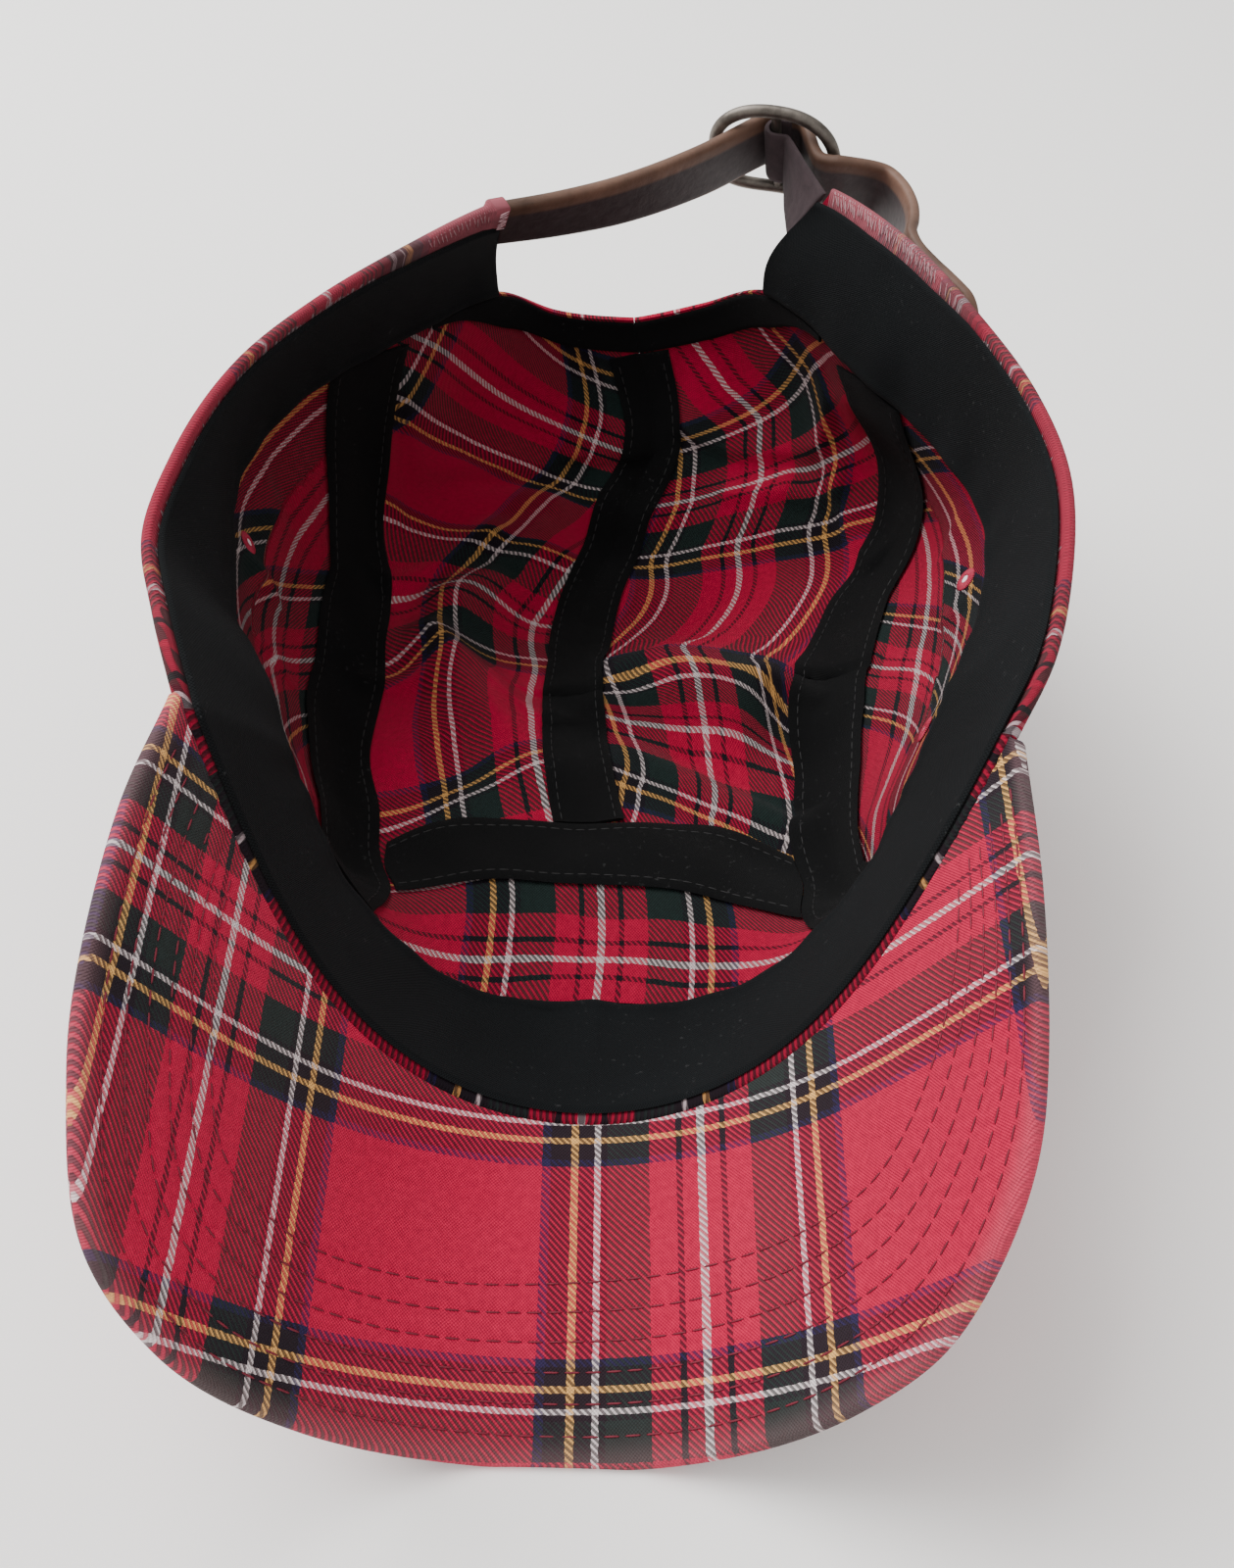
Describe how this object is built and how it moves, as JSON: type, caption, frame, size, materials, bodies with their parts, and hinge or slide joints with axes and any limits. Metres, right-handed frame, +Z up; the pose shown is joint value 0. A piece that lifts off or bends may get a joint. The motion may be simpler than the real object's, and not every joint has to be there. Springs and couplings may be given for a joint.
{
  "type": "camp cap",
  "caption": "Camp cap of plaid twill lying upside down, with a curved peak, open crown, inner sweatband and a buckled leather strap across an arched back opening.",
  "frame": {"origin": "below the middle of the box round the upside-down cap, on the table it rests on", "axes": "+Z up, out of the open head hollow; -Y towards the peak; +Y towards the strap at the back; +X to the right seen from the peak"},
  "size_m": [0.1642, 0.27, 0.1068],
  "materials": {
    "plaid_twill": "woven plaid cotton twill, matt",
    "peak_twill": "woven plaid cotton twill, stitched in rows",
    "black_twill": "black cotton twill, matt",
    "black_tape": "black woven tape, matt",
    "brown_leather": "worn brown leather, raw edge",
    "tab_leather": "suede side of dark leather",
    "aged_metal": "aged grey-brown metal, worn",
    "eyelet_thread": "stitched thread"
  },
  "bodies": {
    "root": {"front_panel": "plaid_twill", "crown_left": "plaid_twill", "crown_right": "plaid_twill", "side_left": "plaid_twill", "side_right": "plaid_twill", "peak": "peak_twill", "sweatband": "black_twill", "front_seam_tape": "black_tape", "center_tape": "black_tape", "side_tape_left": "black_tape", "side_tape_right": "black_tape", "arch_binding": "black_tape", "strap": "brown_leather", "strap_tab": "tab_leather", "buckle": "aged_metal", "eyelet_1": "eyelet_thread", "eyelet_2": "eyelet_thread", "eyelet_3": "eyelet_thread", "eyelet_4": "eyelet_thread"}
  },
  "joints": []
}
